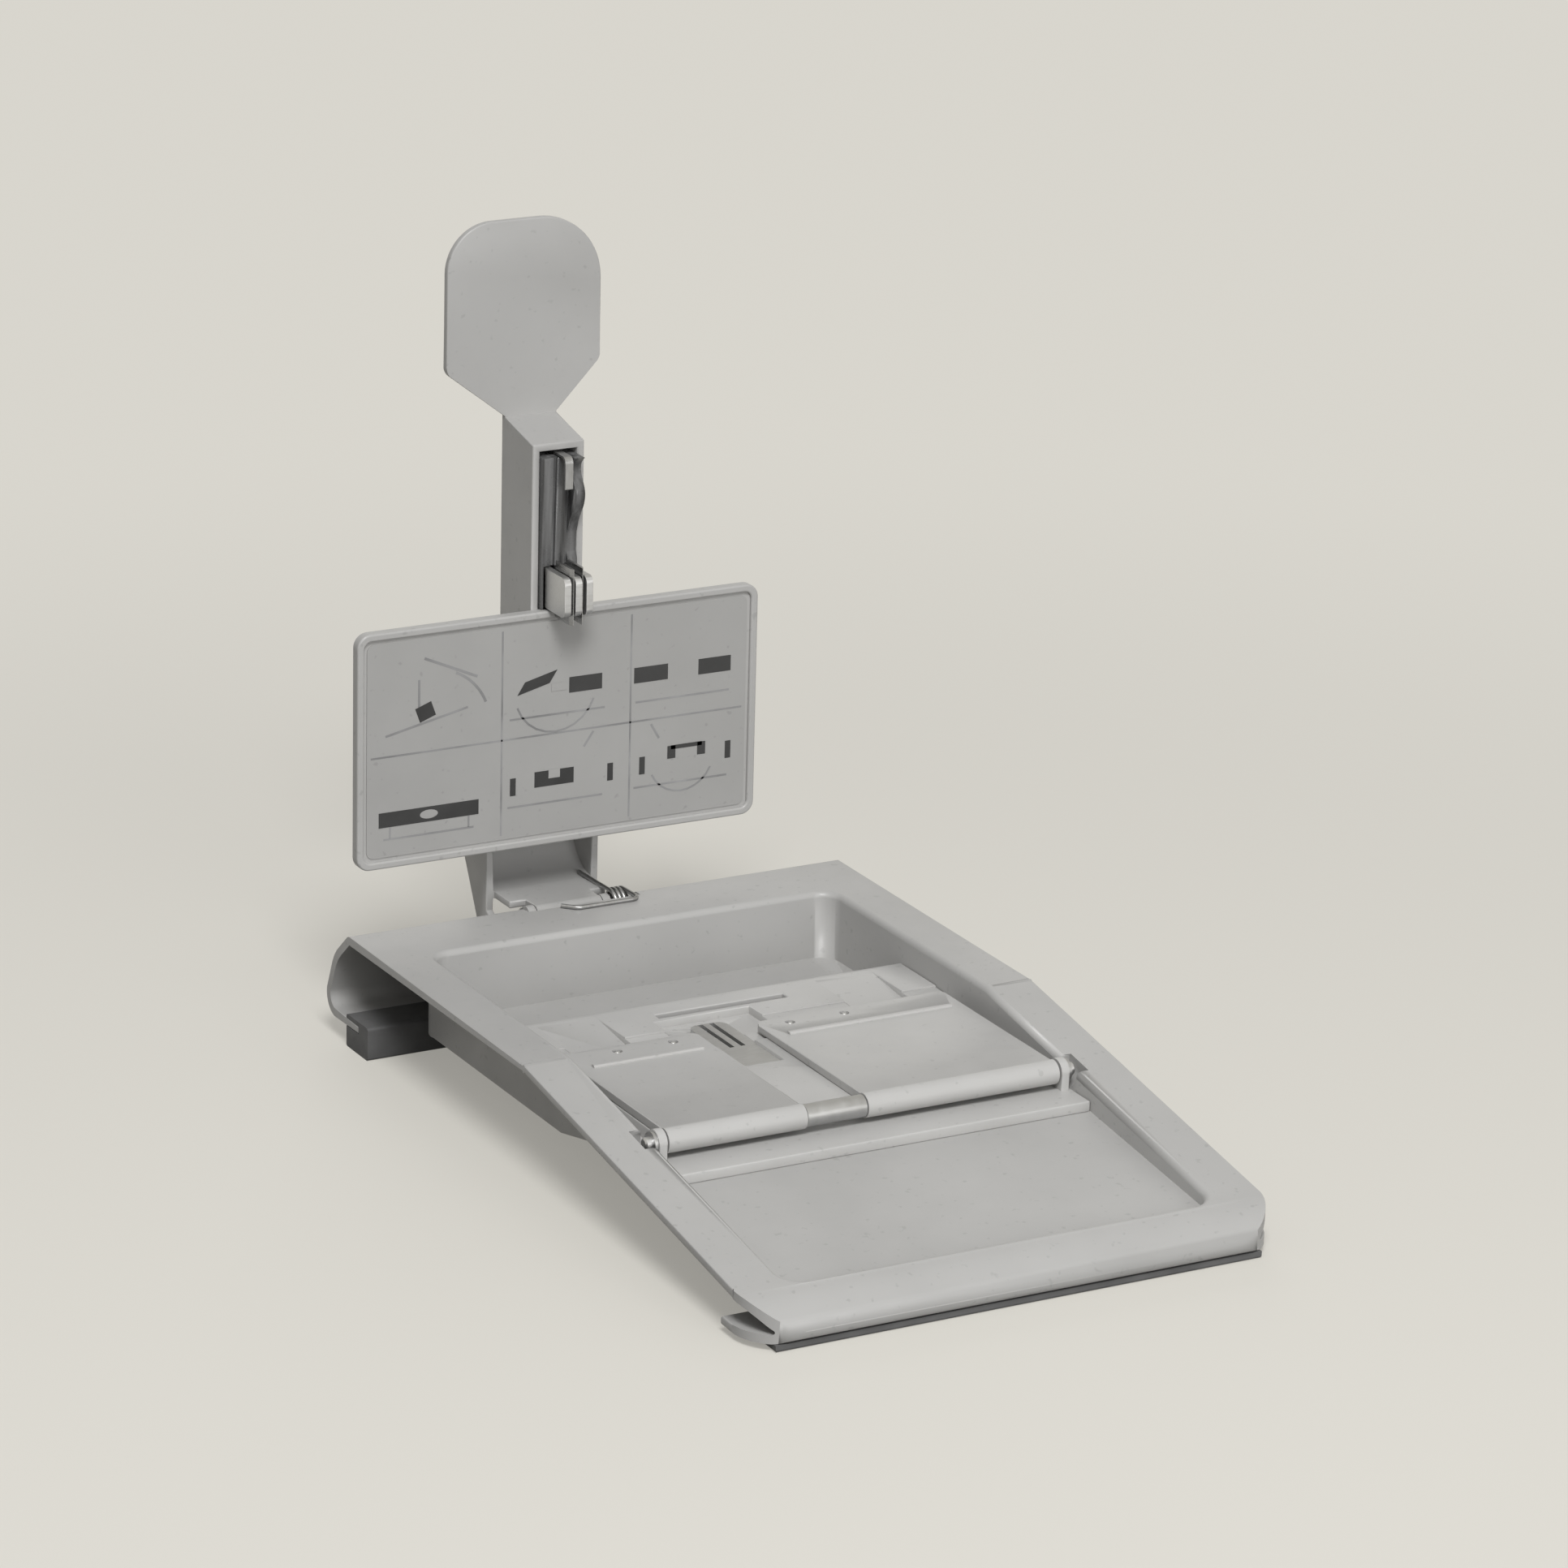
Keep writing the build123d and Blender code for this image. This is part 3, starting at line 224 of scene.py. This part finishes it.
WARM = (1.0, 0.99, 0.965)
MATERIALS = {
    "grey_paint": enamel("grey_paint", 0.41, WARM, 0.42),
    "light_casting": enamel("light_casting", 0.46, WARM, 0.38),
    "label_foil": enamel("label_foil", 0.36, WARM, 0.4),
    "foot_rubber": moulded("foot_rubber", 0.11, 0.75, 2600, 0.05 * MM),
    # painted reflection: vertical light streaks in the base colour stand in for the sheen of
    # a glossy moulding
    "black_plastic": moulded(
        "black_plastic", 0.105, 0.27, 3200, 0.01 * MM, 0.75, (5, 5, 0.25)
    ),
    "zinc_steel": steel("zinc_steel", 0.5, 0.36, (1, 1, 1), 0.1),
    "ground_steel": steel("ground_steel", 0.58, 0.42, (1, 10, 10), 0.1),
    "spring_steel": steel("spring_steel", 0.4, 0.34, (8, 8, 1), 0.1),
    "blade_steel": steel("blade_steel", 0.4, 0.28, (1, 1, 12), 0.1),
}
PRINT_INK = moulded("print_ink", 0.03, 0.5, 2000, 0.005 * MM)
PRINT_GREY = moulded("print_grey", 0.26, 0.5, 2000, 0.005 * MM)


def dress_cad_nodes():
    """Gives every CAD node the material of its slot in the record."""
    slots = {part["node"]: part["material_slot"] for part in frame["record"]["subparts"]}
    for name, node in frame["nodes"].items():
        node.data.materials.clear()
        node.data.materials.append(MATERIALS[slots[name]])


# ------------------------------------------------------- eased metal edges
MERGE_DISTANCE = 0.001 * MM
FLAT_ANGLE = math.radians(0.5)
EDGE_ANGLE = math.radians(35)
CREASE_ANGLE = math.radians(28)
BEVEL_SEGMENTS = 3

# node, its body, the width of its eased edges, and the shortest edge that is eased
EASED_NODES = (
    ("base_shell", "base", 0.25 * MM, 1.2 * MM),
    ("swing_arm", "arm", 0.22 * MM, 0.4 * MM),
    ("film_bed", "base", 0.2 * MM, 1.2 * MM),
    ("film_flap_left", "flap_left", 0.2 * MM, 0.8 * MM),
    ("film_flap_right", "flap_right", 0.2 * MM, 0.8 * MM),
    ("hinge_bracket", "base", 0.2 * MM, 0.4 * MM),
    ("blade_carrier", "arm", 0.15 * MM, 0.6 * MM),
    ("pressure_pad", "pad", 0.12 * MM, 0.3 * MM),
)


def sharp_long_edges(mesh, angle, length):
    """Outer edges that turn by more than `angle` and are longer than `length`."""
    chosen = []
    for edge in mesh.edges:
        if len(edge.link_faces) != 2 or not edge.is_convex:
            continue
        if edge.calc_face_angle(0.0) > angle and edge.calc_length() > length:
            chosen.append(edge)
    return chosen


def ease_edges(node, body, width, shortest):
    """A copy of a CAD node whose outer edges have a small radius, as on finished parts."""
    mesh = frame["nodes"][node].data.copy()
    work = bmesh.new()
    work.from_mesh(mesh)
    bmesh.ops.remove_doubles(work, verts=work.verts, dist=MERGE_DISTANCE)
    bmesh.ops.dissolve_limit(
        work, angle_limit=FLAT_ANGLE, verts=work.verts, edges=work.edges
    )
    edges = sharp_long_edges(work, EDGE_ANGLE, shortest)
    bmesh.ops.bevel(
        work,
        geom=edges,
        offset=width,
        segments=BEVEL_SEGMENTS,
        profile=0.5,
        affect="EDGES",
        clamp_overlap=False,
    )
    work.to_mesh(mesh)
    work.free()
    mesh.shade_smooth()
    mesh.set_sharp_from_angle(angle=CREASE_ANGLE)
    piece = bpy.data.objects.new(node + "_eased", mesh)
    bpy.context.collection.objects.link(piece)
    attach(piece, body)
    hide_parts(node)


def make_pad_spring():
    """The leaf spring: a copy of its CAD mesh with the transform baked in, in place of the
    CAD node.
    """
    mesh = frame["nodes"]["pad_spring"].data.copy()
    piece = bpy.data.objects.new("pad_spring_leaf", mesh)
    bpy.context.collection.objects.link(piece)
    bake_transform(piece)
    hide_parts("pad_spring")


# ------------------------------------------------------------ label printing
PRINT_THICKNESS = 0.02 * MM


def print_piece(name, shapes, material, lift):
    """Printed shapes `lift` above the label; points are in mm from its lower left corner."""
    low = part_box("instruction_label")[0]
    work = bmesh.new()
    front = low[1] - lift
    for points in shapes:
        corners = [(low[0] + x * MM, low[2] + z * MM) for x, z in points]
        face_verts = [work.verts.new((x, front - PRINT_THICKNESS, z)) for x, z in corners]
        back_verts = [work.verts.new((x, front, z)) for x, z in corners]
        work.faces.new(face_verts)
        work.faces.new(list(reversed(back_verts)))
        count = len(corners)
        for i in range(count):
            j = (i + 1) % count
            work.faces.new((face_verts[j], face_verts[i], back_verts[i], back_verts[j]))
    bmesh.ops.recalc_face_normals(work, faces=work.faces)
    mesh = bpy.data.meshes.new(name)
    work.to_mesh(mesh)
    work.free()
    mesh.materials.append(material)
    piece = bpy.data.objects.new(name, mesh)
    bpy.context.collection.objects.link(piece)
    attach(piece, "arm")


def bar(x, z, width, height, turn=0.0, slant=0.0):
    """Rectangle round (x, z), turned by degrees; `slant` moves its top to the right."""
    c, s = math.cos(math.radians(turn)), math.sin(math.radians(turn))
    corners = []
    for u, v in ((-0.5, -0.5), (0.5, -0.5), (0.5, 0.5), (-0.5, 0.5)):
        du, dv = u * width + (v + 0.5) * slant, v * height
        corners.append((x + du * c - dv * s, z + du * s + dv * c))
    return corners


def oval(x, z, width, height, count=20):
    """Ellipse round (x, z)."""
    points = []
    for i in range(count):
        turn = 2 * math.pi * i / count
        points.append((x + width / 2 * math.cos(turn), z + height / 2 * math.sin(turn)))
    return points


def arc_band(x, z, radius, width, start, end, count=10):
    """Curved band from angle `start` to `end` in degrees, as separate short bars."""
    bands = []
    for i in range(count):
        a = math.radians(start + (end - start) * i / count)
        b = math.radians(start + (end - start) * (i + 1) / count)
        inner, outer = radius - width / 2, radius + width / 2
        bands.append(
            [
                (x + inner * math.cos(a), z + inner * math.sin(a)),
                (x + outer * math.cos(a), z + outer * math.sin(a)),
                (x + outer * math.cos(b), z + outer * math.sin(b)),
                (x + inner * math.cos(b), z + inner * math.sin(b)),
            ]
        )
    return bands


def make_label_print():
    """Plain pictograms of cut, joined and pressed strips in six panels; sizes in mm."""
    low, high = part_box("instruction_label")
    width = (high[0] - low[0]) / MM
    height = (high[2] - low[2]) / MM
    column = (0.35 * width, 0.69 * width)
    middle = 0.47 * height
    line = 0.28
    margin = 1.2
    ink = [
        bar(9.6, 5.5, 15.5, 2.2),
        bar(9.0, 20.6, 2.6, 2.2, 20),
        bar(25.6, 22.4, 5.2, 1.5, 14, 1.6),
        bar(34.0, 21.6, 5.2, 2.3),
        bar(44.4, 21.6, 5.4, 2.3),
        bar(54.6, 21.6, 5.2, 2.3),
        bar(29.2, 8.2, 6.2, 2.3),
        bar(22.7, 7.6, 0.9, 2.6),
        bar(38.1, 7.8, 0.9, 2.6),
        bar(43.2, 8.0, 0.9, 2.6),
        bar(57.0, 8.6, 0.9, 2.6),
        bar(47.9, 9.4, 1.3, 1.9),
        bar(52.7, 9.4, 1.3, 1.9),
        bar(50.3, 10.1, 5.0, 0.6),
    ]
    grey = [
        bar(column[0], height / 2, line, height - margin),
        bar(column[1], height / 2, line, height - margin),
        bar(width / 2, middle, width - margin, line),
        bar(9.2, 19.1, 13.0, 0.35, 12),
        bar(12.9, 26.6, 9.0, 0.4, -24),
        bar(8.0, 23.4, 0.35, 4.0),
        bar(29.6, 17.6, 15.0, 0.3),
        bar(49.5, 17.6, 15.0, 0.3),
        bar(9.6, 2.6, 14.0, 0.3),
        bar(29.4, 4.6, 15.0, 0.3),
        bar(49.4, 4.8, 15.0, 0.3),
        bar(3.6, 3.9, 0.3, 2.4),
        bar(15.8, 3.9, 0.3, 2.4),
        bar(34.6, 13.2, 0.35, 2.6, -35),
        bar(45.2, 12.9, 0.35, 2.6, 30),
    ]
    grey += arc_band(10.0, 17.5, 9.0, 0.4, 22, 66)
    grey += arc_band(29.3, 21.4, 6.4, 0.3, 200, 340)
    grey += arc_band(49.5, 8.6, 5.2, 0.3, 205, 335)
    pale = [
        oval(9.6, 5.5, 2.8, 1.3),
        bar(29.8, 21.6, 2.4, 1.2),
        bar(29.2, 8.8, 1.8, 1.3),
    ]
    print_piece("label_panels", grey, PRINT_GREY, 0)
    print_piece("label_pictograms", ink, PRINT_INK, PRINT_THICKNESS)
    print_piece("label_highlights", pale, MATERIALS["label_foil"], 2 * PRINT_THICKNESS)


# ------------------------------------------------------------ floor and light
PAPER = (0.69, 0.67, 0.615, 1)
FLOOR_COLOR = (0.7, 0.68, 0.625, 1)
FLOOR_BOUNCE = (0.12, 0.118, 0.11, 1)
FLOOR_ROUGHNESS = 0.9
FLOOR_GLOSS = 0.1
FLOOR_HALF = 3000 * MM
NEAR_FLOOR = 110 * MM        # inside this radius the floor takes the most shadow
FAR_FLOOR = 360 * MM         # outside this one it is the backdrop's colour
PALENESS = 0.42              # the backdrop's share of the floor inside the near radius
SKY = 0.27

# name, place, aim, size, watts, and whether it shows in reflections
LAMPS = (
    ("high", (-0.25, -0.55, 0.85), (0, 0, 0.04), 0.32, 7.6, True),
    ("front", (0.05, -1.05, 0.25), (0, 0, 0.05), 0.6, 4.2, True),
    ("rear", (0.35, 1.0, 0.4), (0, 0, 0.05), 0.6, 3.2, False),
)


def seen_directly(tree):
    """1 for camera and mirror rays, 0 for the light that one surface throws on another."""
    path = tree.nodes.new("ShaderNodeLightPath")
    either = tree.nodes.new("ShaderNodeMath")
    either.operation = "MAXIMUM"
    tree.links.new(path.outputs["Is Camera Ray"], either.inputs[0])
    tree.links.new(path.outputs["Is Glossy Ray"], either.inputs[1])
    return either.outputs["Value"]


def mix_shaders(tree, factor, first, second):
    """Mix Shader between two shader outputs."""
    mix = tree.nodes.new("ShaderNodeMixShader")
    tree.links.new(factor, mix.inputs["Fac"])
    tree.links.new(first, mix.inputs[1])
    tree.links.new(second, mix.inputs[2])
    return mix.outputs["Shader"]


def make_floor():
    """Pale floor that keeps the splicer's shadow and runs out into the backdrop's colour."""
    mesh = bpy.data.meshes.new("floor")
    signs = ((-1, -1), (1, -1), (1, 1), (-1, 1))
    corners = [(x * FLOOR_HALF, y * FLOOR_HALF, 0) for x, y in signs]
    mesh.from_pydata(corners, [], [(0, 1, 2, 3)])
    floor = bpy.data.objects.new("floor", mesh)
    bpy.context.collection.objects.link(floor)
    material, tree, shader = new_material("floor")
    shader.inputs["Base Color"].default_value = FLOOR_COLOR
    shader.inputs["Roughness"].default_value = FLOOR_ROUGHNESS
    shader.inputs["Specular IOR Level"].default_value = FLOOR_GLOSS
    coords = tree.nodes.new("ShaderNodeTexCoord")
    distance = tree.nodes.new("ShaderNodeVectorMath")
    distance.operation = "LENGTH"
    tree.links.new(coords.outputs["Object"], distance.inputs[0])
    fade = tree.nodes.new("ShaderNodeMapRange")
    fade.interpolation_type = "SMOOTHSTEP"
    fade.inputs["From Min"].default_value = NEAR_FLOOR
    fade.inputs["From Max"].default_value = FAR_FLOOR
    fade.inputs["To Min"].default_value = PALENESS
    tree.links.new(distance.outputs["Value"], fade.inputs["Value"])
    backdrop = tree.nodes.new("ShaderNodeEmission")
    backdrop.inputs["Color"].default_value = PAPER
    seen = mix_shaders(
        tree, fade.outputs["Result"], shader.outputs["BSDF"], backdrop.outputs["Emission"]
    )
    bounce = tree.nodes.new("ShaderNodeBsdfDiffuse")
    bounce.inputs["Color"].default_value = FLOOR_BOUNCE
    surface = mix_shaders(tree, seen_directly(tree), bounce.outputs["BSDF"], seen)
    tree.links.new(surface, tree.nodes["Material Output"].inputs["Surface"])
    mesh.materials.append(material)


def area_lamp(name, place, aim, size, watts, reflected):
    """Soft square lamp at `place`, aimed at `aim`, both in metres."""
    data = bpy.data.lights.new(name, "AREA")
    data.shape = "SQUARE"
    data.size = size
    data.energy = watts
    lamp = bpy.data.objects.new(name, data)
    bpy.context.collection.objects.link(lamp)
    lamp.location = place
    lamp.rotation_euler = (Vector(aim) - Vector(place)).to_track_quat("-Z", "Y").to_euler()
    lamp.visible_glossy = reflected


def make_light():
    """An even sky and the lamps. The rear lamp leaves no glare on the deck."""
    world = bpy.data.worlds.new("world")
    bpy.context.scene.world = world
    world.use_nodes = True
    tree = world.node_tree
    sky = tree.nodes["Background"]
    sky.inputs["Color"].default_value = (1, 1, 1, 1)
    sky.inputs["Strength"].default_value = SKY
    seen = tree.nodes.new("ShaderNodeBackground")
    seen.inputs["Color"].default_value = PAPER
    seen.inputs["Strength"].default_value = 1.0
    surface = mix_shaders(
        tree, seen_directly(tree), sky.outputs["Background"], seen.outputs["Background"]
    )
    tree.links.new(surface, tree.nodes["World Output"].inputs["Surface"])
    for lamp in LAMPS:
        area_lamp(*lamp)


bpy.context.scene.view_settings.view_transform = "Standard"
make_camera()
dress_cad_nodes()
for eased in EASED_NODES:
    ease_edges(*eased)
make_pad_spring()
make_label_print()
make_floor()
make_light()
